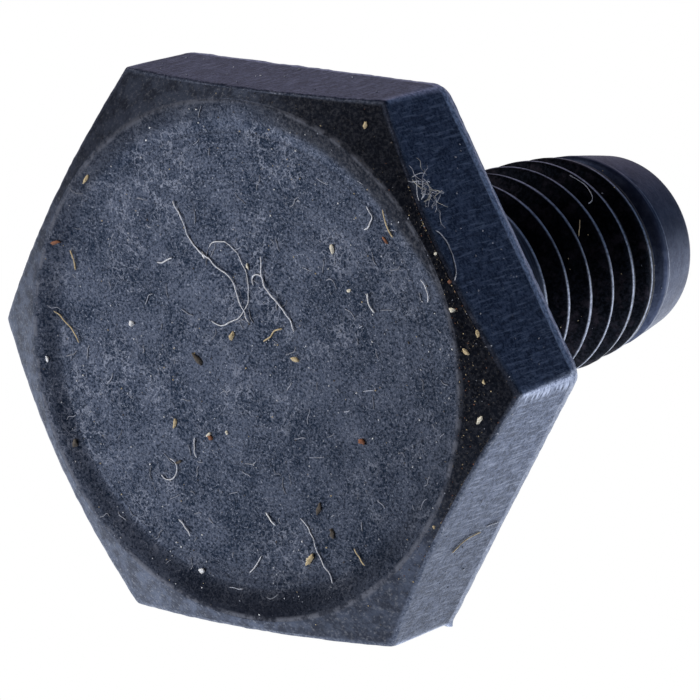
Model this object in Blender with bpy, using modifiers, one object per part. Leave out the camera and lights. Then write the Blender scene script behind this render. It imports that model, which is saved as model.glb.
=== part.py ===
"""Partly threaded hex bolt, lying along world Y on one flat of its head.

All sizes are in metres. The bolt is designed upright: its axis is local Z, the bearing face
under the head is at zero, the head is above it and the shank below. The finished object is then
laid down, with the head towards -Y, the tip towards +Y and one hex flat at the bottom.
"""

import math

import bmesh
import bpy

# Driving dimensions
ACROSS_FLATS = 0.00635
HEAD_HEIGHT = 0.00153
THREAD_DIAMETER = 0.0026
PITCH = 0.00045
LENGTH = 0.0060  # under the head
GRIP_LENGTH = 0.002595  # plain shank between the bearing face and the first of the thread

# Head: the turned cuts that round off the corners of the hexagon, and the dished top
TOP_CHAMFER_RADIUS = 0.478 * ACROSS_FLATS
TOP_CHAMFER_SLOPE = math.tan(math.radians(25))
BACK_CHAMFER_RADIUS = 0.565 * ACROSS_FLATS
BACK_CHAMFER_SLOPE = math.tan(math.radians(27))
CORNER_RADIUS = ACROSS_FLATS / math.sqrt(3)
RIM_WIDTH = 0.00006
DISH_SLOPE_WIDTH = 0.00034
DISH_DEPTH = 0.00005

# Shank: fillet under the head, and the end, which narrows in a convex curve to a small bevel
SHANK_RADIUS = THREAD_DIAMETER / 2
FILLET_RADIUS = 0.00012
TAPER_LENGTH = 0.0020
TAPER_DROP = 0.00024
TAPER_POWER = 1.7
TIP_BEVEL = 0.0001

# Thread: the 60 degree form, cut 5/8 of the full height deep, with a flat root
THREAD_DEPTH = 0.625 * PITCH * math.sqrt(3) / 2
ROOT_HALF_FLAT = PITCH / 8
FLANK_SLOPE = math.tan(math.radians(30))
THREAD_TURNS = 6.25
RUN_OUT_TURNS = 0.4
START_ANGLE = math.radians(210)
CUTTER_CLEARANCE = 0.00003

# Facets
TURNED_STEPS = 48
TAPER_STEPS = 10
FILLET_STEPS = 4

OBJECT_NAME = "hex_bolt"
TOTAL_LENGTH = HEAD_HEIGHT + LENGTH


def clear_scene():
    for obj in list(bpy.data.objects):
        bpy.data.objects.remove(obj, do_unlink=True)


def new_collection(name):
    collection = bpy.data.collections.new(name)
    bpy.context.scene.collection.children.link(collection)
    return collection


def new_object(name, bm, collection):
    mesh = bpy.data.meshes.new(name)
    bm.to_mesh(mesh)
    bm.free()
    obj = bpy.data.objects.new(name, mesh)
    collection.objects.link(obj)
    return obj


def mark_as_cutter(obj):
    obj.hide_render = True
    obj.display_type = "WIRE"


def turned_body(name, profile, collection):
    """A solid of revolution from (radius, height) points that run down its outer side."""
    bm = bmesh.new()
    points = [bm.verts.new((radius, 0, height)) for radius, height in profile]
    for above, below in zip(points, points[1:]):
        bm.edges.new((above, below))
    obj = new_object(name, bm, collection)
    screw = obj.modifiers.new("turn", "SCREW")
    screw.axis = "Z"
    screw.steps = TURNED_STEPS
    screw.render_steps = TURNED_STEPS
    screw.use_merge_vertices = True
    screw.merge_threshold = 1e-7
    mark_as_cutter(obj)
    return obj


def head_envelope(collection):
    """Chamfers both ends of the hexagon and dishes its top."""
    rim_inner = TOP_CHAMFER_RADIUS - RIM_WIDTH
    outer = CORNER_RADIUS * 1.1
    top_drop = (outer - TOP_CHAMFER_RADIUS) * TOP_CHAMFER_SLOPE
    back_rise = (outer - BACK_CHAMFER_RADIUS) * BACK_CHAMFER_SLOPE
    profile = [
        (0, HEAD_HEIGHT - DISH_DEPTH),
        (rim_inner - DISH_SLOPE_WIDTH, HEAD_HEIGHT - DISH_DEPTH),
        (rim_inner, HEAD_HEIGHT),
        (TOP_CHAMFER_RADIUS, HEAD_HEIGHT),
        (outer, HEAD_HEIGHT - top_drop),
        (outer, back_rise),
        (BACK_CHAMFER_RADIUS, 0),
        (0, 0),
    ]
    return turned_body("head_envelope", profile, collection)


def radius_at(height):
    """The shank's outer radius at a height, which is negative below the head."""
    into_taper = max(0.0, -height - (LENGTH - TAPER_LENGTH)) / TAPER_LENGTH
    return SHANK_RADIUS - TAPER_DROP * min(into_taper, 1.0) ** TAPER_POWER


def shank_body(collection):
    """The unthreaded shank, from inside the head to the tip."""
    rooted_at = HEAD_HEIGHT / 2
    profile = [(0, rooted_at), (SHANK_RADIUS + FILLET_RADIUS, rooted_at)]
    for step in range(1, FILLET_STEPS + 1):
        angle = math.radians(90) * step / FILLET_STEPS
        radius = SHANK_RADIUS + FILLET_RADIUS * (1 - math.sin(angle))
        profile.append((radius, FILLET_RADIUS * (math.cos(angle) - 1)))
    for step in range(TAPER_STEPS + 1):
        below = (TAPER_LENGTH - TIP_BEVEL) * step / TAPER_STEPS
        height = -(LENGTH - TAPER_LENGTH) - below
        profile.append((radius_at(height), height))
    profile += [(radius_at(-LENGTH) - TIP_BEVEL, -LENGTH), (0, -LENGTH)]
    return turned_body("shank_blank", profile, collection)


def groove_depth(turn):
    """Full depth along the thread, rising clear of the surface at each of its two ends."""
    end_distance = min(turn, THREAD_TURNS - turn) / RUN_OUT_TURNS
    share = min(1.0, end_distance)
    eased = share * share * (3 - 2 * share)
    return eased * THREAD_DEPTH - (1 - eased) * CUTTER_CLEARANCE / 2


def groove_section(turn):
    """Four corners of the groove's cross-section: the root below, the mouth above the surface."""
    angle = START_ANGLE - 2 * math.pi * turn
    height = -GRIP_LENGTH - PITCH * turn
    clear_of_surface = radius_at(height) + CUTTER_CLEARANCE / 2
    root_radius = min(SHANK_RADIUS - groove_depth(turn), clear_of_surface)
    corners = []
    for side in (1, -1):
        mouth = radius_at(height) + CUTTER_CLEARANCE
        half_mouth = ROOT_HALF_FLAT + (mouth - root_radius) * FLANK_SLOPE
        mouth_height = height + side * half_mouth
        mouth_radius = radius_at(mouth_height) + CUTTER_CLEARANCE
        side_corners = [(root_radius, height + side * ROOT_HALF_FLAT), (mouth_radius, mouth_height)]
        corners += side_corners if side > 0 else side_corners[::-1]
    return [(r * math.cos(angle), r * math.sin(angle), z) for r, z in corners]


def thread_groove(collection):
    """The helical cutter: one section after another along the thread, bridged and capped."""
    bm = bmesh.new()
    sections = round(THREAD_TURNS * TURNED_STEPS)
    rings = []
    for index in range(sections + 1):
        corners = groove_section(index / TURNED_STEPS)
        rings.append([bm.verts.new(corner) for corner in corners])
    for ring, following in zip(rings, rings[1:]):
        for corner in range(4):
            other = (corner + 1) % 4
            bm.faces.new((ring[corner], following[corner], following[other], ring[other]))
    bm.faces.new(rings[0])
    bm.faces.new(rings[-1][::-1])
    bmesh.ops.recalc_face_normals(bm, faces=bm.faces)
    obj = new_object("thread_groove", bm, collection)
    mark_as_cutter(obj)
    return obj


def hex_blank(collection):
    """The hexagonal bar that the head is cut from, with two of its corners on the X axis."""
    bpy.ops.mesh.primitive_cylinder_add(
        vertices=6, radius=CORNER_RADIUS, depth=HEAD_HEIGHT, location=(0, 0, 0)
    )
    blank = bpy.context.active_object
    blank.name = OBJECT_NAME
    blank.data.name = OBJECT_NAME
    for vertex in blank.data.vertices:
        x, y, z = vertex.co
        vertex.co = (y, -x, z + HEAD_HEIGHT / 2)
    for owner in list(blank.users_collection):
        owner.objects.unlink(blank)
    collection.objects.link(blank)
    return blank


def add_boolean(obj, name, operation, other):
    boolean = obj.modifiers.new(name, "BOOLEAN")
    boolean.operation = operation
    boolean.solver = "EXACT"
    boolean.object = other


def black_oxide_steel():
    material = bpy.data.materials.new("black_oxide_steel")
    material.use_nodes = True
    shader = material.node_tree.nodes["Principled BSDF"]
    shader.inputs["Base Color"].default_value = (0.045, 0.05, 0.062, 1)
    shader.inputs["Metallic"].default_value = 1.0
    shader.inputs["Roughness"].default_value = 0.42
    material.diffuse_color = (0.045, 0.05, 0.062, 1)
    return material


def lay_down(objects):
    """Turns the upright bolt onto its head's lower flat, centred on its whole length."""
    for obj in objects:
        obj.rotation_euler = (math.radians(90), 0, 0)
        obj.location = (0, HEAD_HEIGHT - TOTAL_LENGTH / 2, ACROSS_FLATS / 2)


def main():
    clear_scene()
    parts = new_collection("hex bolt")
    cutters = new_collection("cutters")
    bolt = hex_blank(parts)
    envelope = head_envelope(cutters)
    shank = shank_body(cutters)
    groove = thread_groove(cutters)
    add_boolean(bolt, "chamfers and dish", "INTERSECT", envelope)
    add_boolean(bolt, "shank", "UNION", shank)
    add_boolean(bolt, "thread", "DIFFERENCE", groove)
    bolt.data.materials.append(black_oxide_steel())
    bolt.data.shade_smooth()
    bolt.data.set_sharp_from_angle(angle=math.radians(20))
    lay_down([bolt, envelope, shank, groove])


main()
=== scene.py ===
"""Looks of the hex bolt: one finely meshed body of blackened steel, with the dirt that lies on it.

Shapes are worked out in millimetres in the bolt's own frame: its axis is Z, the bearing face under
the head is at zero, the head is above and the shank below, and two corners of the head lie on X.
placed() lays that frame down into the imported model's frame, in metres.
"""

import math
import random

import bmesh
import bpy
import numpy as np
from mathutils import Matrix, Vector, noise


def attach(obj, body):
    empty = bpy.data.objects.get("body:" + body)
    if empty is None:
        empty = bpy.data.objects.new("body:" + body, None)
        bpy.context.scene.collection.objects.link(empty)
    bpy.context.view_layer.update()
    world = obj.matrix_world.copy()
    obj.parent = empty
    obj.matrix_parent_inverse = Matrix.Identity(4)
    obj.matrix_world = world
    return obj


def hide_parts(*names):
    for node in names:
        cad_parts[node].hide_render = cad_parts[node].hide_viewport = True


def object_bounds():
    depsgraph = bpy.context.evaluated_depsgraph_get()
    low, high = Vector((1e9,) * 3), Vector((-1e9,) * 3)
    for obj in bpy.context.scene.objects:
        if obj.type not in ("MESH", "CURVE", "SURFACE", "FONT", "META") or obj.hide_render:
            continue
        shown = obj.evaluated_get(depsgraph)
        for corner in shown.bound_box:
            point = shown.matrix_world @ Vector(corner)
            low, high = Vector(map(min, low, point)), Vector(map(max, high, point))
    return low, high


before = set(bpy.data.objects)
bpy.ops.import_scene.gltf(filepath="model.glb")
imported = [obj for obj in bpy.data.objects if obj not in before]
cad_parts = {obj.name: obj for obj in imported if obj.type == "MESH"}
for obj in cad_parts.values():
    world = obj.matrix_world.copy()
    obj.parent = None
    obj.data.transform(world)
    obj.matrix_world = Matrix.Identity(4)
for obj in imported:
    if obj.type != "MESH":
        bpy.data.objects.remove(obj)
cad_low, cad_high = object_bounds()

MM = 0.001

# Sizes of the bolt in millimetres, as in the CAD
ACROSS_FLATS = (cad_high.z - cad_low.z) / MM
TOTAL_LENGTH = (cad_high.y - cad_low.y) / MM
HEAD_HEIGHT = 1.53
LENGTH = TOTAL_LENGTH - HEAD_HEIGHT
RIM_RADIUS = 0.478 * ACROSS_FLATS
CHAMFER_SLOPE = math.tan(math.radians(25))
RIM_WIDTH = 0.06
DISH_SLOPE_WIDTH = 0.34
DISH_DEPTH = 0.05
SHANK_RADIUS = 1.3
FILLET_RADIUS = 0.12
TAPER_LENGTH = 2.0
TAPER_DROP = 0.24
TAPER_POWER = 1.7
TIP_BEVEL = 0.1
PITCH = 0.45
THREAD_DEPTH = 0.244
THREAD_START = -2.595
THREAD_TURNS = 6.25
RUN_OUT_TURNS = 0.4
START_ANGLE = math.radians(210)
CREST_HALF_WIDTH = 0.0625
ROOT_HALF_WIDTH = 0.125

# The real shank points slightly down from the head's axis
SHANK_SAG = 0.012

# Softened edges of the head
FRONT_EDGE_ROUNDING = 0.03
# Back edge of the head: a soft shoulder, a worn facet, and a small roll-over at the very end
SHOULDER_FROM = 0.22
SHOULDER_DROP = 0.006
FACET_FROM = 0.11
FACET_TO = 0.015
FACET_SLOPE = math.tan(math.radians(26))
ROLL_OVER = 0.008
CORNER_ROUNDING_FRONT = 0.05
CORNER_ROUNDING_BACK = 0.26

# Mesh density
HALF_SECTOR_STEPS = 36
COLUMNS = 12 * HALF_SECTOR_STEPS

# Camera
CAMERA_AZIMUTH = 36.489
CAMERA_ELEVATION = 12.95
CAMERA_ROLL = -0.886
CAMERA_LENS_MM = 493.06
CAMERA_DISTANCE = 0.1093
CAMERA_AIM = Vector((0.0009391, cad_low.y + 0.0007735, 0.0032709))


def placed(points):
    """Bolt-frame millimetres, as rows of x, y, z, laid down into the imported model's metres."""
    points = np.asarray(points, float)
    bearing_y = cad_low.y + HEAD_HEIGHT * MM
    centre_z = (cad_low.z + cad_high.z) / 2
    laid = np.empty_like(points)
    laid[:, 0] = points[:, 0] * MM
    laid[:, 1] = bearing_y - points[:, 2] * MM
    laid[:, 2] = centre_z + points[:, 1] * MM
    return laid


def smooth_step(value):
    value = np.clip(value, 0.0, 1.0)
    return value * value * (3 - 2 * value)


# ---------------------------------------------------------------- shape of the bolt


def column_angles():
    """How far each column of the mesh is turned from the first, closer together at the corners."""
    share = np.arange(HALF_SECTOR_STEPS) / HALF_SECTOR_STEPS
    to_corner = math.radians(30) * (1 - (1 - share) ** 1.6)
    from_corner = math.radians(30) * (1 + share**1.6)
    sector = np.concatenate([to_corner, from_corner])
    return np.concatenate([sector + math.radians(60) * side for side in range(6)])


def hexagon_radius(angles, rounding):
    """Distance from the axis to the hexagon's side, with its corners rounded to a radius."""
    half = ACROSS_FLATS / 2
    from_corner = (angles + math.pi / 6) % (math.pi / 3) - math.pi / 6
    from_flat = math.pi / 6 - np.abs(from_corner)
    centre = (half - rounding) / math.cos(math.pi / 6)
    straight_until = np.arctan2(centre * math.sin(math.pi / 6), half)
    inside = np.maximum(rounding**2 - (centre * np.sin(from_corner)) ** 2, 0)
    arc = centre * np.cos(from_corner) + np.sqrt(inside)
    return np.where(from_flat < straight_until, half / np.cos(from_flat), arc)


def shank_radius(height):
    into_taper = np.clip((-height - (LENGTH - TAPER_LENGTH)) / TAPER_LENGTH, 0, 1)
    return SHANK_RADIUS - TAPER_DROP * into_taper**TAPER_POWER


def bend(start, corner, end, share):
    """A point on the curve that rounds off a corner between two edge points."""
    return (1 - share) ** 2 * start + 2 * share * (1 - share) * corner + share**2 * end


def back_edge_drop(height):
    """How far the head's side has fallen back at a height just above its back face."""
    if height > FACET_FROM:
        return SHOULDER_DROP * ((SHOULDER_FROM - height) / (SHOULDER_FROM - FACET_FROM)) ** 2
    facet = SHOULDER_DROP + (FACET_FROM - max(height, FACET_TO)) * FACET_SLOPE
    rolled = max(0.0, 1 - height / FACET_TO)
    return facet + ROLL_OVER * (1 - math.sqrt(1 - rolled**2))


def head_rows(angles):
    """Rows of (radius, height, zone) from the middle of the head's top to the fillet below it."""
    ones = np.ones(COLUMNS)
    rows = []
    slope_start = RIM_RADIUS - RIM_WIDTH - DISH_SLOPE_WIDTH
    for share in np.linspace(0.03, 1, 30):
        rows.append((slope_start * share * ones, (HEAD_HEIGHT - DISH_DEPTH) * ones, "top"))
    for share in np.linspace(0, 1, 11)[1:]:
        radius = slope_start + DISH_SLOPE_WIDTH * share
        height = HEAD_HEIGHT - DISH_DEPTH * (1 - float(smooth_step(share)))
        rows.append((radius * ones, height * ones, "ring"))
    for share, drop in ((0.5, 0.0), (0.85, 0.001), (1.0, 0.004)):
        radius = RIM_RADIUS - RIM_WIDTH * (1 - share)
        rows.append((radius * ones, (HEAD_HEIGHT - drop) * ones, "rim"))

    front = hexagon_radius(angles, CORNER_ROUNDING_FRONT)
    front_height = HEAD_HEIGHT - (front - RIM_RADIUS) * CHAMFER_SLOPE
    inner = front - FRONT_EDGE_ROUNDING
    inner_height = HEAD_HEIGHT - (inner - RIM_RADIUS) * CHAMFER_SLOPE
    for share in np.linspace(0.08, 0.92, 8):
        radius = RIM_RADIUS + (inner - RIM_RADIUS) * share
        rows.append((radius, HEAD_HEIGHT - (radius - RIM_RADIUS) * CHAMFER_SLOPE, "chamfer"))
    below = front_height - FRONT_EDGE_ROUNDING
    for share in np.linspace(0, 1, 5):
        radius = bend(inner, front, front, share)
        rows.append((radius, bend(inner_height, front_height, below, share), "front_edge"))

    for share in np.linspace(0, 1, 22)[1:]:
        height = below + (SHOULDER_FROM - below) * share
        to_back = smooth_step(1 - height / (HEAD_HEIGHT * 0.8))
        rounding = CORNER_ROUNDING_FRONT + (CORNER_ROUNDING_BACK - CORNER_ROUNDING_FRONT) * to_back
        rows.append((hexagon_radius(angles, rounding), height, "side"))
    back = rows[-1][0]
    shoulder = np.linspace(SHOULDER_FROM, FACET_FROM, 6)[1:]
    facet = np.linspace(FACET_FROM, FACET_TO, 6)[1:]
    roll_over = np.linspace(FACET_TO, 0, 4)[1:]
    for height in (*shoulder, *facet, *roll_over):
        rows.append((back - back_edge_drop(height), height * ones, "back_edge"))
    outer = rows[-1][0]

    fillet_edge = SHANK_RADIUS + FILLET_RADIUS
    for share in np.linspace(0, 1, 15)[1:]:
        rows.append((outer + (fillet_edge - outer) * share, 0 * ones, "under"))
    for angle in np.linspace(0, math.pi / 2, 6)[1:]:
        radius = SHANK_RADIUS + FILLET_RADIUS * (1 - math.sin(angle))
        height = FILLET_RADIUS * (math.cos(angle) - 1)
        rows.append((radius * ones, height * ones, "grip"))
    for height in np.linspace(-FILLET_RADIUS, THREAD_START + PITCH / 2 + 0.06, 14)[1:]:
        rows.append((shank_radius(height) * ones, height * ones, "grip"))
    return rows


CREST_WOBBLE = 0.006


def section_positions():
    """Shares of one pitch at which the thread has points, closest together round its corners."""
    past_crest = CREST_HALF_WIDTH + 0.0225
    before_root = 0.5 - ROOT_HALF_WIDTH - 0.03
    past_root_corner = 0.5 - ROOT_HALF_WIDTH + 0.035
    crest = np.linspace(0, past_crest, 5)
    flank = np.linspace(past_crest, before_root, 6)[1:]
    root_corner = np.linspace(before_root, past_root_corner, 3)[1:]
    root = np.linspace(past_root_corner, 0.5, 3)[1:]
    falling = [*crest, *flank, *root_corner, *root]
    rising = [1 - position for position in falling[-2:0:-1]]
    return [float(position) for position in (*falling, *rising)]


def thread_form(position):
    """Share of the full depth across one pitch, from crest at 0 through the root to crest at 1."""
    depth = 0.0
    flank = 0.5 - CREST_HALF_WIDTH - ROOT_HALF_WIDTH
    for offset, weight in ((-0.025, 0.25), (0.0, 0.5), (0.025, 0.25)):
        from_root = abs((position + offset) % 1.0 - 0.5)
        share = 1 - (from_root - ROOT_HALF_WIDTH) / flank
        depth += weight * min(max(share, 0.0), 1.0)
    return depth


SECTION = section_positions()
FORM = [thread_form(position) for position in SECTION]


def groove_mask(turn):
    return float(smooth_step(min(turn, THREAD_TURNS - turn) / RUN_OUT_TURNS))


def thread_point(turn, index):
    """Radius, height and crest share of one point of the thread, at a turn and a section index."""
    position = SECTION[index]
    height = THREAD_START + PITCH / 2 - PITCH * (turn + position)
    along = (turn + position) * 2 * math.pi * SHANK_RADIUS
    wobble = noise.noise(Vector((along * 1.7, 0.5, 3.1)))
    nick = noise.noise(Vector((along * 9.0, 4.2, 8.4)))
    cut = SHANK_RADIUS - THREAD_DEPTH * groove_mask(turn) * FORM[index]
    envelope = float(shank_radius(height))
    radius = min(cut, envelope) + CREST_WOBBLE * (wobble + 0.5 * nick)
    from_crest = min(position, 1 - position)
    crest = max(0.0, 1 - from_crest / 0.06) * groove_mask(turn)
    return radius, height, crest


def bolt_mesh():
    """One closed skin: rows of the head, a ribbon that winds down as the thread, and the tip."""
    turned = column_angles()
    angles = START_ANGLE - turned
    points, zones, crests, faces = [], [], [], []

    def add(angle, radius, height, zone, crest=0.0):
        points.append((radius * math.cos(angle), radius * math.sin(angle), height))
        zones.append(zone)
        crests.append(crest)
        return len(points) - 1

    def add_row(radius, height, zone):
        return [add(a, r, h, zone) for a, r, h in zip(angles, radius, height)]

    def bridge(upper, lower):
        for column in range(COLUMNS):
            after = (column + 1) % COLUMNS
            faces.append((upper[column], upper[after], lower[after], lower[column]))

    def cap(pole, row):
        for column in range(COLUMNS):
            faces.append((pole, row[(column + 1) % COLUMNS], row[column]))

    head = [add_row(*row) for row in head_rows(angles)]
    cap(add(0, 0, HEAD_HEIGHT - DISH_DEPTH, "top"), head[0])
    for upper, lower in zip(head, head[1:]):
        bridge(upper, lower)

    steps = round(THREAD_TURNS * COLUMNS)
    sections = []
    for step in range(steps + COLUMNS + 1):
        column = step % COLUMNS
        turn = step // COLUMNS + turned[column] / (2 * math.pi)
        section = []
        for index in range(len(SECTION) if step <= steps else 1):
            radius, height, crest = thread_point(turn, index)
            past_thread = turn + SECTION[index] > THREAD_TURNS - RUN_OUT_TURNS / 2
            section.append(add(angles[column], radius, height, "band" if past_thread else "thread", crest))
        sections.append(section)
    for step in range(steps):
        left = sections[step] + [sections[step + COLUMNS][0]]
        right = sections[step + 1] + [sections[step + 1 + COLUMNS][0]]
        for index in range(len(SECTION)):
            faces.append((left[index], right[index], right[index + 1], left[index + 1]))

    above = []
    for column in range(COLUMNS):
        height = points[sections[column][0]][2] + 0.03
        above.append(add(angles[column], SHANK_RADIUS, height, "grip"))
    bridge(head[-1], above)
    for step in range(COLUMNS - 1):
        faces.append((above[step], above[step + 1], sections[step + 1][0], sections[step][0]))
    joining = (*sections[0], sections[COLUMNS][0], sections[COLUMNS - 1][0])
    faces.append((above[COLUMNS - 1], above[0], *joining))

    edge_heights = np.empty(COLUMNS)
    for step in range(steps + 1, steps + COLUMNS + 1):
        edge_heights[step % COLUMNS] = points[sections[step][0]][2]
    bevel_start = -LENGTH + TIP_BEVEL
    tip_rows = []
    for share in np.linspace(0, 1, 9)[1:]:
        height = edge_heights + (bevel_start - edge_heights) * share
        tip_rows.append(add_row(shank_radius(height), height, "band"))
    below = tip_rows[0]
    for step in range(steps + 1, steps + COLUMNS):
        column, after = step % COLUMNS, (step + 1) % COLUMNS
        faces.append((sections[step][0], sections[step + 1][0], below[after], below[column]))
    last = steps % COLUMNS
    closing = [sections[steps][index] for index in range(len(SECTION) - 1, 0, -1)]
    corner = (below[(last + 1) % COLUMNS], below[last], sections[steps + COLUMNS][0])
    faces.append((sections[steps][0], sections[steps + 1][0], *corner, *closing))

    edge = float(shank_radius(bevel_start))
    ones = np.ones(COLUMNS)
    for share in np.linspace(0, 1, 6)[1:]:
        radius = bend(edge, edge - 0.03, edge - TIP_BEVEL, share)
        height = bend(bevel_start, -LENGTH + 0.01, -LENGTH, share)
        tip_rows.append(add_row(radius * ones, height * ones, "band"))
    for share in (0.8, 0.6, 0.4, 0.2, 0.08):
        tip_rows.append(add_row((edge - TIP_BEVEL) * share * ones, -LENGTH * ones, "tip"))
    for upper, lower in zip(tip_rows, tip_rows[1:]):
        bridge(upper, lower)
    cap(add(0, 0, -LENGTH, "tip"), tip_rows[-1])
    return points, faces, zones, crests


def roughen(points, zones):
    """Small unevenness of the real metal: a wavy head and bruised edges."""
    moved = []
    for (x, y, z), zone in zip(points, zones):
        spot = Vector((x, y, z))
        wave = noise.noise(spot * 0.9) * 0.006 + noise.noise(spot * 4.0) * 0.0015
        if zone in ("top", "ring", "rim", "chamfer"):
            z += wave
        elif zone in ("side", "back_edge", "front_edge"):
            bruise = noise.noise(spot * 9.0) * 0.009 if zone != "side" else 0.0
            from_burr = (math.atan2(y, x) + math.pi / 3) / 0.012, (z - 0.1) / 0.04
            burr = 0.07 * math.exp(-from_burr[0] ** 2 - from_burr[1] ** 2)
            scale = 1 + (wave * 0.6 + bruise + burr) / math.hypot(x, y)
            x, y = x * scale, y * scale
        y -= SHANK_SAG * max(0.0, -z / LENGTH)
        moved.append((x, y, z))
    return moved


ZONE_MASKS = ("top", "rim", "chamfer", "side", "grip", "thread", "band")
MASKS = (*ZONE_MASKS, "ring", "painted_front_shade", "comb", "crest", "wear_and_highlight")


def add_attribute(mesh, name, values):
    attribute = mesh.attributes.new(name, "FLOAT", "POINT")
    attribute.data.foreach_set("value", np.asarray(values, np.float32))


def painted_ring_shade(points, zones):
    """Painted shade just inside the rim: strongest at the bottom, faint at the right."""
    values = []
    for (x, y, z), zone in zip(points, zones):
        share = (math.hypot(x, y) - 2.35) / (RIM_RADIUS - RIM_WIDTH - 2.35)
        degrees = math.degrees(math.atan2(y, x))
        at_bottom = math.exp(-(((degrees + 88) / 32) ** 2))
        at_right = math.exp(-((degrees / 45) ** 2))
        weight = 0.5 + 0.5 * at_bottom - 0.4 * at_right
        fade = 1.8 - 1.0 * at_bottom
        reached = max(0.0, min(share, 1.0)) ** fade if zone in ("top", "ring", "rim") else 0.0
        values.append(reached * weight)
    return values


# Painted shade on the head's front: the middle of each patch, its reach and its fade in degrees, and strength
PAINTED_SHADE_PATCHES = ((25, 48, 22, 1.0), (122, 14, 25, 0.45), (-62, 8, 22, 0.6))


def painted_shade_on_front(points, zones):
    """The nearly black parts of the head's front, painted shade: above all its right and upper right chamfer."""
    values = []
    for (x, y, z), zone in zip(points, zones):
        degrees = math.degrees(math.atan2(y, x))
        shaded = 0.0
        for centre, reach, fade, strength in PAINTED_SHADE_PATCHES:
            beside = 1 - float(smooth_step((abs(degrees - centre) - reach) / fade))
            shaded = max(shaded, beside * strength)
        inner_edge = 2.96 - 0.22 * float(smooth_step((degrees - 15) / 30))
        outward = float(smooth_step((math.hypot(x, y) - inner_edge) / 0.12))
        values.append(shaded * outward if zone in ("top", "ring", "rim", "chamfer") else 0.0)
    return values


def comb_wear(points, zones):
    """The worn strip below the head's right corner."""
    values = []
    for (x, y, z), zone in zip(points, zones):
        below = math.exp(-(((y + 0.075) / 0.055) ** 2)) if x > 0 else 0.0
        values.append(below if zone == "side" else 0.0)
    return values


def edge_wear_and_highlight(points, zones):
    """Wear and painted highlight of each vertex: full on the head's edges and corners, none on its faces; the back
    edge's painted highlight grows brighter towards the top.
    """
    values = []
    for (x, y, z), zone in zip(points, zones):
        from_corner = (math.atan2(y, x) + math.pi / 6) % (math.pi / 3) - math.pi / 6
        corner = math.exp(-((from_corner / 0.012) ** 2)) if zone in ("side", "back_edge") else 0.0
        back = 0.4 + 0.6 * float(smooth_step((y + 0.4) / 0.8))
        edge = {"front_edge": 0.1, "back_edge": back}.get(zone, 0.0)
        values.append(max(edge, corner))
    return values


def build_bolt(material):
    points, faces, zones, crests = bolt_mesh()
    points = roughen(points, zones)
    mesh = bpy.data.meshes.new("hex_bolt_body")
    mesh.from_pydata([tuple(p) for p in placed(points)], [], faces)
    bm = bmesh.new()
    bm.from_mesh(mesh)
    bmesh.ops.recalc_face_normals(bm, faces=bm.faces)
    bm.to_mesh(mesh)
    bm.free()
    for name in ZONE_MASKS:
        add_attribute(mesh, name, [1.0 if zone == name else 0.0 for zone in zones])
    add_attribute(mesh, "ring", painted_ring_shade(points, zones))
    add_attribute(mesh, "painted_front_shade", painted_shade_on_front(points, zones))
    add_attribute(mesh, "comb", comb_wear(points, zones))
    add_attribute(mesh, "crest", crests)
    add_attribute(mesh, "wear_and_highlight", edge_wear_and_highlight(points, zones))
    mesh.shade_smooth()
    mesh.materials.append(material)
    body = bpy.data.objects.new("hex_bolt_body", mesh)
    bpy.context.scene.collection.objects.link(body)
    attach(body, "root")
    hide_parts("hex_bolt")
    return body


# ---------------------------------------------------------------- materials


class Graph:
    """Short calls that add nodes to a material and join them up."""

    def __init__(self, tree):
        self.tree = tree

    def put(self, socket, value):
        if isinstance(value, bpy.types.NodeSocket):
            self.tree.links.new(value, socket)
        else:
            socket.default_value = value

    def node(self, kind, inputs=(), **settings):
        made = self.tree.nodes.new(kind)
        for name, value in settings.items():
            setattr(made, name, value)
        for key, value in dict(inputs).items():
            self.put(made.inputs[key], value)
        return made

    def math(self, operation, first, second=0.0):
        return self.node("ShaderNodeMath", {0: first, 1: second}, operation=operation).outputs[0]

    def noise(self, vector, scale, detail=3.0, roughness=0.55):
        values = {"Vector": vector, "Scale": scale, "Detail": detail, "Roughness": roughness}
        return self.node("ShaderNodeTexNoise", values).outputs[0]

    def veins(self, vector, scale, width):
        """Thin winding lines where a noise crosses its middle value."""
        middle = self.math("ABSOLUTE", self.math("SUBTRACT", self.noise(vector, scale, 4.0, 0.6), 0.5))
        return self.ramp(middle, 0.0, width, 1.0, 0.0)

    def stretched(self, vector, scale):
        return self.node("ShaderNodeMapping", {"Vector": vector, "Scale": scale}).outputs[0]

    def ramp(self, value, low, high, to_low=0.0, to_high=1.0):
        ends = {"From Min": low, "From Max": high, "To Min": to_low, "To Max": to_high}
        made = self.node("ShaderNodeMapRange", {"Value": value, **ends},
                         interpolation_type="SMOOTHSTEP")
        return made.outputs[0]

    def mix(self, factor, first, second, blend="MIX"):
        made = self.node("ShaderNodeMix", {0: factor}, data_type="RGBA", blend_type=blend)
        self.put(made.inputs[6], first)
        self.put(made.inputs[7], second)
        return made.outputs[2]

    def dimmed(self, colour, share):
        grey = self.node("ShaderNodeCombineXYZ", {0: share, 1: share, 2: share}).outputs[0]
        return self.mix(1.0, colour, grey, "MULTIPLY")

    def from_axis(self, spot):
        """The distance from the bolt's axis, as a vector, for marks that run round it."""
        parts = self.node("ShaderNodeSeparateXYZ", {0: spot})
        across = self.node("ShaderNodeCombineXYZ", {0: parts.outputs[0], 2: parts.outputs[2]})
        length = self.node("ShaderNodeVectorMath", {0: across.outputs[0]}, operation="LENGTH")
        return self.node("ShaderNodeCombineXYZ", {0: length.outputs["Value"]}).outputs[0]

    def facing(self, vector, towards):
        made = self.node("ShaderNodeVectorMath", {0: vector, 1: tuple(Vector(towards).normalized())},
                         operation="DOT_PRODUCT")
        return made.outputs["Value"]

    def attribute(self, name):
        return self.node("ShaderNodeAttribute", attribute_name=name).outputs["Fac"]


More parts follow.
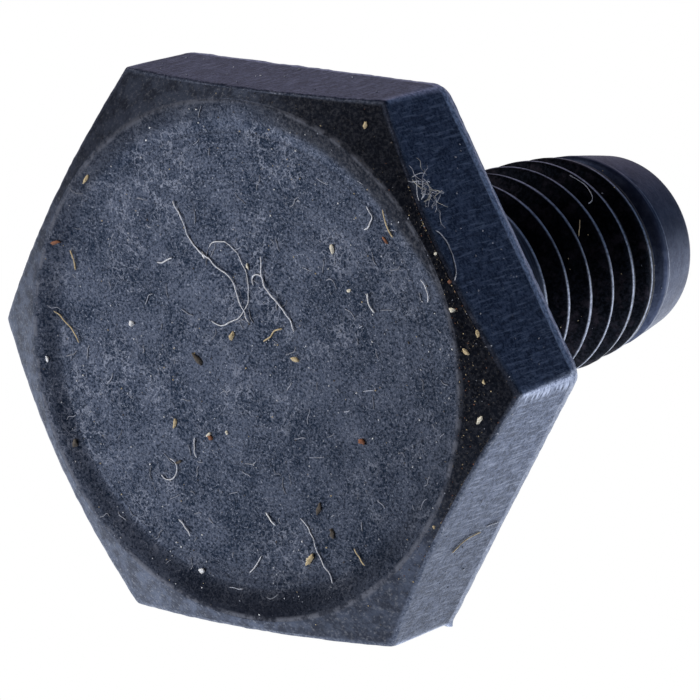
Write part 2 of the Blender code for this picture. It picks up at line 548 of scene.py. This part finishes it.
def head_colour(graph, spot, ring_shade):
    """The head's top: dark blue-grey with fine pale grain, smears and specks, with painted shade just inside the
    rim and towards its lower right.
    """
    mottle = graph.noise(spot, 2.2, 5.0, 0.6)
    grain = graph.noise(spot, 32.0, 3.0, 0.7)
    specks = graph.noise(graph.stretched(spot, (44, 44, 44)), 1.0, 2.0, 0.5)
    shade = graph.math("ADD", graph.ramp(mottle, 0.35, 0.65, -0.06, 0.06), grain)
    colour = graph.mix(graph.ramp(shade, 0.34, 0.66), (0.013, 0.024, 0.045, 1), (0.13, 0.15, 0.2, 1))
    turned = graph.ramp(graph.noise(graph.from_axis(spot), 9.0, 4.0, 0.75), 0.5, 0.66, 0, 0.3)
    colour = graph.mix(graph.math("MULTIPLY", turned, graph.ramp(grain, 0.4, 0.6)), colour, (0.24, 0.26, 0.31, 1))
    smeared = graph.ramp(graph.noise(spot, 1.3, 4.0, 0.6), 0.46, 0.6)
    hairs = graph.math("MULTIPLY", graph.veins(spot, 5.0, 0.03), smeared)
    colour = graph.mix(graph.math("MULTIPLY", hairs, 0.75), colour, (0.32, 0.34, 0.4, 1))
    haze = graph.ramp(graph.noise(spot, 4.0, 7.0, 0.8), 0.56, 0.7, 0, 0.25)
    colour = graph.mix(haze, colour, (0.2, 0.215, 0.26, 1))
    wisps = graph.math("MULTIPLY", graph.veins(graph.stretched(spot, (6, 13, 8)), 1.0, 0.02), 0.35)
    colour = graph.mix(wisps, colour, (0.28, 0.3, 0.36, 1))
    colour = graph.mix(graph.ramp(specks, 0.65, 0.71, 0, 0.7), colour, (0.42, 0.44, 0.5, 1))
    colour = graph.mix(graph.ramp(specks, 0.4, 0.33, 0, 0.75), colour, (0.014, 0.018, 0.028, 1))
    # Painted shade: the top is darkened just inside the rim.
    colour = graph.mix(graph.math("MULTIPLY", ring_shade, 0.92), colour, (0.014, 0.016, 0.025, 1))
    # Painted shade: the head's top is dimmed towards its lower right.
    parts = graph.node("ShaderNodeSeparateXYZ", {0: spot})
    below = graph.math("MULTIPLY", parts.outputs[2], 0.55)
    lower_right = graph.math("SUBTRACT", parts.outputs[0], below)
    return graph.dimmed(colour, graph.ramp(lower_right, -1.5, 4.0, 1.04, 0.66))


def flat_colour(graph, spot):
    """The six flats: mottled, with fine grinding marks along the bolt's axis, and painted shade that darkens them
    towards the bottom.
    """
    cloud = graph.noise(spot, 7.0, 6.0, 0.75)
    grain = graph.noise(spot, 24.0, 3.0, 0.8)
    along = graph.noise(graph.stretched(spot, (30, 3.0, 30)), 1.0, 4.0, 0.7)
    shade = graph.math("ADD", graph.math("MULTIPLY", cloud, 0.4), graph.math("MULTIPLY", grain, 0.6))
    colour = graph.mix(graph.ramp(shade, 0.41, 0.59), (0.02, 0.032, 0.06, 1), (0.112, 0.136, 0.198, 1))
    colour = graph.mix(graph.ramp(along, 0.52, 0.64, 0, 0.6), colour, (0.24, 0.27, 0.34, 1))
    colour = graph.mix(graph.ramp(along, 0.46, 0.34, 0, 0.7), colour, (0.03, 0.038, 0.06, 1))
    # Painted shade: the flats are dimmed towards the bottom and lightened towards the top.
    up = graph.node("ShaderNodeSeparateXYZ", {0: spot}).outputs[2]
    return graph.dimmed(colour, graph.ramp(up, -3.0, 0.0, 0.72, 1.1))


def grip_colour(graph, spot):
    """The plain grip: nearly black, with fine turning marks round it and small rubbed spots."""
    marks = graph.noise(graph.stretched(spot, (1.5, 42, 1.5)), 1.0, 4.0, 0.7)
    colour = graph.mix(graph.ramp(marks, 0.4, 0.62), (0.007, 0.009, 0.016, 1), (0.043, 0.053, 0.082, 1))
    rubbed = graph.ramp(graph.noise(spot, 3.5, 6.0, 0.75), 0.54, 0.7, 0, 0.45)
    return graph.mix(rubbed, colour, (0.085, 0.095, 0.12, 1))


def steel_colour(graph, spot, masks):
    """Base colour of the blackened steel, zone by zone, with painted shade and painted highlights mixed in."""
    cloud = graph.noise(spot, 6.0, 6.0, 0.7)
    grain = graph.noise(spot, 26.0, 3.0, 0.7)
    colour = head_colour(graph, spot, masks["ring"])
    bevel = graph.mix(graph.ramp(cloud, 0.38, 0.62), (0.043, 0.05, 0.07, 1), (0.1, 0.118, 0.162, 1))
    bevel = graph.mix(graph.ramp(grain, 0.55, 0.68, 0, 0.6), bevel, (0.25, 0.26, 0.28, 1))
    colour = graph.mix(masks["chamfer"], colour, bevel)
    # Painted shade: the head's front is made nearly black in patches, above all on its right chamfer.
    painted_front_shade = graph.mix(graph.ramp(grain, 0.4, 0.66), (0.01, 0.012, 0.018, 1), (0.054, 0.055, 0.062, 1))
    colour = graph.mix(graph.math("MULTIPLY", masks["painted_front_shade"], 0.88), colour, painted_front_shade)
    # Painted highlight: the rim is paled in patches.
    rim_highlight = graph.math("MULTIPLY", masks["rim"], graph.ramp(cloud, 0.42, 0.58, 0.05, 0.65))
    colour = graph.mix(rim_highlight, colour, (0.17, 0.175, 0.2, 1))
    colour = graph.mix(masks["side"], colour, flat_colour(graph, spot))
    colour = graph.mix(masks["grip"], colour, grip_colour(graph, spot))
    # Painted shade: the thread is made nearly black, as if its grooves lie in shadow.
    painted_groove_shade = graph.mix(graph.ramp(grain, 0.4, 0.65), (0.003, 0.004, 0.006, 1), (0.012, 0.014, 0.02, 1))
    painted_groove_shade = graph.mix(graph.ramp(cloud, 0.48, 0.68, 0, 0.7), painted_groove_shade, (0.034, 0.029, 0.038, 1))
    colour = graph.mix(masks["thread"], colour, painted_groove_shade)
    band = graph.mix(graph.ramp(cloud, 0.35, 0.65), (0.036, 0.047, 0.084, 1), (0.076, 0.092, 0.142, 1))
    colour = graph.mix(masks["band"], colour, band)
    # Worn pale edges and corners, and a painted highlight along the head's back edge.
    worn_and_highlight = graph.mix(graph.ramp(grain, 0.35, 0.62), (0.2, 0.235, 0.34, 1), (0.6, 0.66, 0.8, 1))
    colour = graph.mix(graph.math("MULTIPLY", masks["wear_and_highlight"], 0.85), colour, worn_and_highlight)
    strokes = graph.ramp(graph.noise(graph.stretched(spot, (4, 24, 4)), 1.0, 2.0, 0.5), 0.44, 0.6)
    combed = graph.math("MULTIPLY", graph.math("MULTIPLY", strokes, masks["comb"]), 0.9)
    colour = graph.mix(combed, colour, (0.45, 0.5, 0.62, 1))
    # Painted highlight: the thread's crests are made pale, as if catching the light.
    crest_highlight = graph.mix(graph.ramp(grain, 0.3, 0.6), (0.19, 0.21, 0.27, 1), (0.5, 0.54, 0.64, 1))
    return graph.mix(masks["crest"], colour, crest_highlight)


def steel_relief(graph, spot, masks):
    """Bump of the blackened steel: turning rings on the head's top, grinding marks on its flats."""
    faced = graph.math("ADD", masks["top"], masks["chamfer"])
    rings = graph.math("MULTIPLY", graph.noise(graph.from_axis(spot), 22.0, 4.0, 0.7), faced)
    along = graph.noise(graph.stretched(spot, (34, 2.4, 34)), 1.0, 5.0, 0.7)
    ground = graph.math("MULTIPLY", along, masks["side"])
    pitted = graph.math("MULTIPLY", graph.noise(spot, 30.0, 4.0, 0.7), 0.8)
    relief = graph.math("ADD", pitted, graph.math("ADD", rings, ground))
    values = {"Height": relief, "Strength": 0.3, "Distance": 0.00002}
    return graph.node("ShaderNodeBump", values).outputs[0]


def steel_material():
    material = bpy.data.materials.new("black_oxide_steel")
    material.use_nodes = True
    graph = Graph(material.node_tree)
    shader = material.node_tree.nodes["Principled BSDF"]
    position = graph.node("ShaderNodeTexCoord").outputs["Object"]
    to_axis = {"Vector": position, "Location": (0, 0, -ACROSS_FLATS / 2), "Scale": (1000,) * 3}
    spot = graph.node("ShaderNodeMapping", to_axis).outputs[0]
    masks = {name: graph.attribute(name) for name in MASKS}
    graph.put(shader.inputs["Base Color"], steel_colour(graph, spot, masks))
    grain = graph.noise(spot, 34.0, 3.0, 0.7)
    graph.put(shader.inputs["Roughness"], graph.ramp(grain, 0.3, 0.7, 0.34, 0.48))
    graph.put(shader.inputs["Normal"], steel_relief(graph, spot, masks))
    shader.inputs["Metallic"].default_value = 1.0
    return material


def dirt_material():
    """Matt lint, straw and grit: each bit has its own tint, with a fibrous fine grain."""
    material = bpy.data.materials.new("lint_and_grit")
    material.use_nodes = True
    graph = Graph(material.node_tree)
    shader = material.node_tree.nodes["Principled BSDF"]
    position = graph.node("ShaderNodeTexCoord").outputs["Object"]
    tint = graph.node("ShaderNodeAttribute", attribute_name="tint").outputs["Color"]
    grain = graph.noise(position, 60000.0, 3.0, 0.7)
    shade = graph.mix(graph.ramp(grain, 0.35, 0.65), (0.6, 0.57, 0.52, 1), (1, 1, 1, 1))
    graph.put(shader.inputs["Base Color"], graph.mix(1.0, tint, shade, "MULTIPLY"))
    shader.inputs["Roughness"].default_value = 0.75
    bump = graph.node("ShaderNodeBump", {"Height": grain, "Strength": 0.4, "Distance": 0.000006})
    graph.put(shader.inputs["Normal"], bump.outputs[0])
    return material


# ---------------------------------------------------------------- dirt that lies on the bolt

LINT = (0.72, 0.74, 0.8)
FAINT_LINT = (0.3, 0.32, 0.38)
STRAW = (0.62, 0.5, 0.3)
SAND = (0.85, 0.8, 0.66)
EARTH = (0.1, 0.085, 0.07)
RUST = (0.26, 0.11, 0.06)
PALE = (0.9, 0.92, 0.95)
SOOT = (0.015, 0.013, 0.012)

# The fibres that stand out, placed to a quarter of a millimetre. Each has its tint, its
# thickness, where it starts, its heading, its length and how far it bends in all, in degrees.
TOP_FIBRES = (
    (LINT, 0.018, (-1.0, 1.75), -60, 1.75, 25),
    (LINT, 0.02, (0.25, 1.25), -90, 1.0, 25),
    (LINT, 0.015, (0.25, 1.0), 120, 0.25, 170),
    (LINT, 0.013, (-0.5, 1.25), 75, 1.75, -270),
    (STRAW, 0.018, (0.25, 0.25), 35, 0.35, 0),
    (LINT, 0.015, (-1.25, 1.0), -5, 0.25, 0),
    (PALE, 0.022, (1.75, 1.0), -110, 0.25, 80),
    (LINT, 0.016, (1.75, 2.0), -45, 0.35, -90),
    (STRAW, 0.019, (2.0, 2.0), -90, 0.35, 0),
    (LINT, 0.016, (2.5, 1.25), -20, 0.3, -80),
    (LINT, 0.015, (0.75, -1.75), -30, 0.85, 70),
    (STRAW, 0.018, (1.5, -2.0), -60, 0.25, 0),
    (PALE, 0.022, (0.25, -1.75), -45, 0.2, 0),
    (LINT, 0.015, (0.0, -2.5), 45, 0.3, 10),
    (LINT, 0.017, (-0.75, -1.0), -100, 0.25, 50),
    (LINT, 0.014, (-1.25, -1.5), -60, 0.5, 260),
    (LINT, 0.018, (-1.0, -2.0), -30, 0.25, 0),
    (STRAW, 0.02, (-2.5, 1.0), -60, 0.25, 0),
    (STRAW, 0.018, (-2.75, 0.25), -25, 0.5, -20),
)
FLAT_FIBRES = {  # by the flat's angle: places run sideways and up from the head's back
    30: ((LINT, 0.014, (0.25, 1.4), -115, 0.7, -115),),
    -30: ((STRAW, 0.02, (-0.5, 1.0), -25, 0.5, -50), (LINT, 0.014, (-0.25, 0.5), -60, 0.25, 10)),
}
THREAD_FIBRES = {  # by the angle round the shank and the height
    (45, -4.0): (FAINT_LINT, 0.014, (0, 0), -100, 0.6, 130),
    (30, -3.5): (STRAW, 0.013, (0, 0), -60, 0.25, 20),
}
FIBRE_CURL = 0.2  # how far a placed fibre strays at random, in radians a step
LINT_CLUMP_FLAT = 30
LINT_CLUMP_AT = (0.75, 1.25)
LINT_CLUMP_SPREAD = (0.12, 0.06)


def face_height(x, y):
    """Height of the head's front over a point: its dished top, rim and chamfer."""
    radius = math.hypot(x, y)
    if radius > RIM_RADIUS:
        return HEAD_HEIGHT - (radius - RIM_RADIUS) * CHAMFER_SLOPE
    share = (radius - (RIM_RADIUS - RIM_WIDTH - DISH_SLOPE_WIDTH)) / DISH_SLOPE_WIDTH
    return HEAD_HEIGHT - DISH_DEPTH * (1 - float(smooth_step(share)))


def on_top(x, y, lift):
    return Vector((x, y, face_height(x, y) + lift))


def on_flat(degrees, sideways, height, lift):
    angle = math.radians(degrees)
    outward = Vector((math.cos(angle), math.sin(angle), 0))
    along = Vector((-math.sin(angle), math.cos(angle), 0))
    return outward * (ACROSS_FLATS / 2 + lift) + along * sideways + Vector((0, 0, height))


def on_thread(degrees, height, lift):
    angle = math.radians(degrees)
    radius = float(shank_radius(height)) + lift
    return Vector((radius * math.cos(angle), radius * math.sin(angle), height))


def smooth_route(route, steps=5):
    """Points along a smooth curve through the route's points."""
    ends = [route[0] * 2 - route[1], *route, route[-1] * 2 - route[-2]]
    curve = []
    for a, b, c, d in zip(ends, ends[1:], ends[2:], ends[3:]):
        for step in range(steps):
            t = step / steps
            bent = (b * 2 + (c - a) * t + (a * 2 - b * 5 + c * 4 - d) * t**2
                    + (b * 3 - a - c * 3 + d) * t**3) / 2
            curve.append(bent)
    return [*curve, route[-1]]


def fibre(route, thickness, outward):
    """A thin closed tube, uneven along its length and pointed at both ends."""
    curve = smooth_route(route)
    sides = 6
    points, faces = [curve[0]], []
    for index in range(1, len(curve) - 1):
        ahead = (curve[index + 1] - curve[index - 1]).normalized()
        across = ahead.cross(outward).normalized()
        above = across.cross(ahead)
        from_end = min(index, len(curve) - 1 - index)
        swell = 1 + 0.35 * noise.noise(curve[index] * 9.0)
        radius = thickness / 2 * swell * min(1.0, 0.45 + 0.3 * from_end)
        for side in range(sides):
            turn = 2 * math.pi * side / sides
            points.append(curve[index] + (across * math.cos(turn) + above * math.sin(turn) * 0.7) * radius)
    points.append(curve[-1])
    last = len(points) - 1
    rings = len(curve) - 2
    for side in range(sides):
        after = (side + 1) % sides
        faces.append((0, 1 + after, 1 + side))
        faces.append((last, last - sides + side, last - sides + after))
        for ring in range(rings - 1):
            first = 1 + ring * sides
            faces.append((first + side, first + after, first + sides + after, first + sides + side))
    return points, faces


def ball_of_facets(subdivisions):
    bm = bmesh.new()
    bmesh.ops.create_icosphere(bm, subdivisions=subdivisions, radius=1)
    points = [vertex.co.copy() for vertex in bm.verts]
    faces = [tuple(vertex.index for vertex in face.verts) for face in bm.faces]
    bm.free()
    return points, faces


def crumb(spot, outward, half_sizes, turn, shape, dice):
    """A lumpy chip, lying flat on the surface under it."""
    ball, faces = shape
    along = outward.orthogonal().normalized()
    along = Matrix.Rotation(turn, 3, outward) @ along
    across = outward.cross(along)
    seed = Vector((dice.uniform(0, 90), dice.uniform(0, 90), dice.uniform(0, 90)))
    points = []
    for unit in ball:
        lumpy = 1 + 0.7 * noise.noise(unit * 1.1 + seed) + 0.35 * noise.noise(unit * 3.0 + seed)
        size = Vector((half_sizes[0], half_sizes[1], half_sizes[2])) * lumpy
        points.append(spot + along * unit.x * size.x + across * unit.y * size.y
                      + outward * (unit.z + 0.55) * size.z)
    return points, faces


class Litter:
    """Gathers many small solids into one piece that rides on the bolt."""

    def __init__(self, name):
        self.name = name
        self.points = []
        self.faces = []
        self.tints = []

    def add(self, solid, tint):
        points, faces = solid
        start = len(self.points)
        self.points += points
        self.faces += [tuple(start + index for index in face) for face in faces]
        self.tints += [(*tint, 1.0)] * len(points)

    def build(self, material):
        mesh = bpy.data.meshes.new(self.name)
        mesh.from_pydata([tuple(point) for point in placed(self.points)], [], self.faces)
        bm = bmesh.new()
        bm.from_mesh(mesh)
        bmesh.ops.recalc_face_normals(bm, faces=bm.faces)
        bm.to_mesh(mesh)
        bm.free()
        tint = mesh.attributes.new("tint", "FLOAT_COLOR", "POINT")
        tint.data.foreach_set("color", np.asarray(self.tints, np.float32).ravel())
        mesh.shade_smooth()
        mesh.materials.append(material)
        piece = bpy.data.objects.new(self.name, mesh)
        bpy.context.scene.collection.objects.link(piece)
        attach(piece, "root")


FRONT = Vector((0, 0, 1))


def wandering(start, heading, length, bend, curl, dice):
    """Points of a route on a plane that turns by the bend in all, and strays a little at random."""
    steps = max(3, round(length / 0.07))
    route = [start]
    for _ in range(steps):
        heading += bend / steps + dice.gauss(0, curl)
        x, y = route[-1]
        route.append((x + math.cos(heading) * length / steps, y + math.sin(heading) * length / steps))
    return route


def placed_route(start, heading, length, bend, dice):
    return wandering(start, math.radians(heading), length, math.radians(bend), FIBRE_CURL, dice)


def stray_lint(lint, dice):
    """Short faint fibres all over the head's top."""
    for _ in range(120):
        radius = 2.9 * math.sqrt(dice.random())
        angle = dice.uniform(0, 2 * math.pi)
        start = (radius * math.cos(angle), radius * math.sin(angle))
        route = wandering(start, dice.uniform(0, 6.3), dice.uniform(0.05, 0.22), 0, 0.5, dice)
        thickness = dice.uniform(0.006, 0.011)
        shade = dice.uniform(0.7, 1.6)
        tint = [part * shade for part in FAINT_LINT]
        lint.add(fibre([on_top(x, y, thickness / 2) for x, y in route], thickness, FRONT), tint)


def lint_on_top(dice):
    lint = Litter("lint_on_head")
    for tint, thickness, start, heading, length, bend in TOP_FIBRES:
        route = placed_route(start, heading, length, bend, dice)
        points = [on_top(x, y, thickness * dice.uniform(0.4, 1.6)) for x, y in route]
        lint.add(fibre(points, thickness, FRONT), tint)
    stray_lint(lint, dice)
    return lint


def lint_clump(lint, dice):
    """The tangle that hangs on the front edge of the upper right flat."""
    outward = on_flat(LINT_CLUMP_FLAT, 0, 0, 0).normalized()
    for _ in range(34):
        start = [dice.gauss(at, spread) for at, spread in zip(LINT_CLUMP_AT, LINT_CLUMP_SPREAD)]
        route = wandering(start, dice.uniform(0, 6.3), dice.uniform(0.12, 0.3), 0, 0.4, dice)
        points = []
        for sideways, height in route:
            points.append(on_flat(LINT_CLUMP_FLAT, sideways, min(height, 1.5), dice.uniform(0.01, 0.06)))
        lint.add(fibre(points, dice.uniform(0.006, 0.011), outward), dice.choice((LINT, LINT, SAND)))


def lint_on_sides(dice):
    lint = Litter("lint_on_sides")
    for degrees, fibres in FLAT_FIBRES.items():
        outward = on_flat(degrees, 0, 0, 0).normalized()
        for tint, thickness, start, heading, length, bend in fibres:
            route = placed_route(start, heading, length, bend, dice)
            points = [on_flat(degrees, sideways, height, thickness * 0.6) for sideways, height in route]
            lint.add(fibre(points, thickness, outward), tint)
    lint_clump(lint, dice)
    for (degrees, height), (tint, thickness, *route) in THREAD_FIBRES.items():
        points = []
        for around, up in placed_route(*route, dice):
            points.append(on_thread(degrees + math.degrees(around / SHANK_RADIUS), height + up, 0.03))
        lint.add(fibre(points, thickness, on_thread(degrees, height, 0).normalized()), tint)
    return lint


def anywhere_on_top(dice):
    radius = 3.0 * math.sqrt(dice.random())
    angle = dice.uniform(0, 2 * math.pi)
    return on_top(radius * math.cos(angle), radius * math.sin(angle), 0), FRONT


def on_right_chamfer(dice):
    angle = math.radians(dice.gauss(8, 28))
    from_flat = angle % (math.pi / 3) - math.pi / 6
    edge = ACROSS_FLATS / 2 / math.cos(from_flat) - 0.05
    radius = min(RIM_RADIUS + abs(dice.gauss(0.02, 0.22)), edge)
    return on_top(radius * math.cos(angle), radius * math.sin(angle), 0), FRONT


def on_seen_flats(dice):
    degrees = dice.choice((30, 30, -30, 90))
    spot = on_flat(degrees, dice.uniform(-1.6, 1.6), dice.uniform(0.25, 1.35), 0)
    return spot, on_flat(degrees, 0, 0, 0).normalized()


def in_the_thread(dice):
    spot = on_thread(dice.uniform(-40, 110), dice.uniform(-5.4, -2.9), -0.1 * dice.random())
    return spot, Vector((spot.x, spot.y, 0)).normalized()


# How many bits, where, their smallest and largest half width, how long they are for their width,
# their tints, and how finely their shape is divided
GRIT = (
    (24, anywhere_on_top, (0.014, 0.032), (1.3, 3.0), (SAND, STRAW, STRAW, PALE, EARTH, RUST), 2),
    (480, anywhere_on_top, (0.004, 0.01), (0.8, 1.6), (PALE, LINT, LINT, FAINT_LINT, FAINT_LINT, STRAW, EARTH), 1),
    (9, on_right_chamfer, (0.014, 0.028), (1.2, 2.4), (SAND, STRAW, RUST), 2),
    (600, on_right_chamfer, (0.004, 0.008), (0.8, 1.7), (EARTH,) * 8 + (SOOT,) * 6 + (RUST, STRAW, FAINT_LINT), 1),
    (80, on_seen_flats, (0.005, 0.01), (0.8, 2.0), (LINT, FAINT_LINT, FAINT_LINT), 1),
    (30, in_the_thread, (0.004, 0.008), (1.0, 1.6), (FAINT_LINT, FAINT_LINT, STRAW), 1),
)


def grit(dice):
    bits = Litter("grit")
    for count, place, widths, stretches, tints, subdivisions in GRIT:
        shape = ball_of_facets(subdivisions)
        for _ in range(count):
            spot, outward = place(dice)
            width = dice.uniform(*widths)
            half_sizes = (width * dice.uniform(*stretches), width, width * 0.65)
            turn = dice.uniform(0, 2 * math.pi)
            bits.add(crumb(spot, outward, half_sizes, turn, shape, dice), dice.choice(tints))
    return bits


# ---------------------------------------------------------------- stage


def add_camera():
    data = bpy.data.cameras.new("camera")
    data.sensor_width = 36
    data.lens = CAMERA_LENS_MM
    data.clip_start = 0.01
    data.clip_end = 10
    camera = bpy.data.objects.new("camera", data)
    bpy.context.scene.collection.objects.link(camera)
    azimuth, elevation = math.radians(CAMERA_AZIMUTH), math.radians(CAMERA_ELEVATION)
    back = Vector((math.sin(azimuth) * math.cos(elevation),
                   -math.cos(azimuth) * math.cos(elevation), math.sin(elevation)))
    turn = (-back).to_track_quat("-Z", "Y").to_matrix().to_4x4()
    roll = Matrix.Rotation(math.radians(CAMERA_ROLL), 4, "Z")
    camera.matrix_world = Matrix.Translation(CAMERA_AIM + back * CAMERA_DISTANCE) @ turn @ roll
    bpy.context.scene.camera = camera


def add_floor():
    mesh = bpy.data.meshes.new("floor")
    half = 2.0
    corners = [(-half, -half, 0), (half, -half, 0), (half, half, 0), (-half, half, 0)]
    mesh.from_pydata(corners, [], [(0, 1, 2, 3)])
    floor = bpy.data.objects.new("floor", mesh)
    bpy.context.scene.collection.objects.link(floor)
    material = bpy.data.materials.new("lit_white_table")
    material.use_nodes = True
    graph = Graph(material.node_tree)
    material.node_tree.nodes.clear()
    glow = graph.node("ShaderNodeEmission", {"Strength": 1.0})
    graph.node("ShaderNodeOutputMaterial", {0: glow.outputs[0]})
    mesh.materials.append(material)
    for ray in ("visible_diffuse", "visible_glossy", "visible_shadow"):
        setattr(floor, ray, False)
    floor.location.z = cad_low.z


def add_world():
    """White to the camera; as light, a bright table below and behind, and a dark room in front."""
    world = bpy.data.worlds.new("studio")
    bpy.context.scene.world = world
    world.use_nodes = True
    graph = Graph(world.node_tree)
    direction = graph.node("ShaderNodeTexCoord").outputs["Generated"]
    parts = graph.node("ShaderNodeSeparateXYZ", {0: direction})
    to_right = graph.ramp(parts.outputs[0], -0.4, 0.3)
    behind = graph.mix(to_right, (0.33, 0.31, 0.4, 1), (0.08, 0.12, 0.19, 1))
    room = graph.mix(graph.ramp(parts.outputs[1], -0.2, 0.5), (0.06, 0.06, 0.08, 1), behind)
    lamp = graph.ramp(graph.facing(direction, (-0.6, -0.66, 0.45)), 0.88, 0.97, 0.0, 0.9)
    room = graph.mix(lamp, room, (1.0, 1.0, 1.05, 1))
    below = graph.ramp(parts.outputs[2], -0.2, 0.0, 1.0, 0.0)
    dark_front = graph.ramp(graph.facing(direction, (0.35, -0.93, 0.0)), 0.5, 0.95, 1.0, 0.05)
    table = graph.math("MULTIPLY", below, dark_front)
    light = graph.mix(table, room, (1.3, 1.36, 1.5, 1))
    shown = graph.node("ShaderNodeLightPath").outputs["Is Camera Ray"]
    background = world.node_tree.nodes["Background"]
    graph.put(background.inputs["Color"], graph.mix(shown, light, (1, 1, 1, 1)))


def add_dust_light(direction, distance, size, power):
    """Soft light that falls on the dust only: the steel's gloss does not see it."""
    data = bpy.data.lights.new("dust_light", "AREA")
    data.size = size
    data.energy = power
    light = bpy.data.objects.new("dust_light", data)
    bpy.context.scene.collection.objects.link(light)
    direction = Vector(direction).normalized()
    centre = Vector((0, cad_low.y, (cad_low.z + cad_high.z) / 2))
    turn = direction.to_track_quat("Z", "Y").to_matrix().to_4x4()
    light.matrix_world = Matrix.Translation(centre + direction * distance) @ turn
    light.visible_camera = False
    light.visible_glossy = False


add_camera()
add_floor()
add_world()
add_dust_light((-0.9, -0.7, 0.6), 0.08, 0.03, 0.06)
bpy.context.scene.view_settings.view_transform = "Standard"
build_bolt(steel_material())
lint_and_grit = dirt_material()
dice = random.Random(7)
for litter in (lint_on_top(dice), lint_on_sides(dice), grit(dice)):
    litter.build(lint_and_grit)
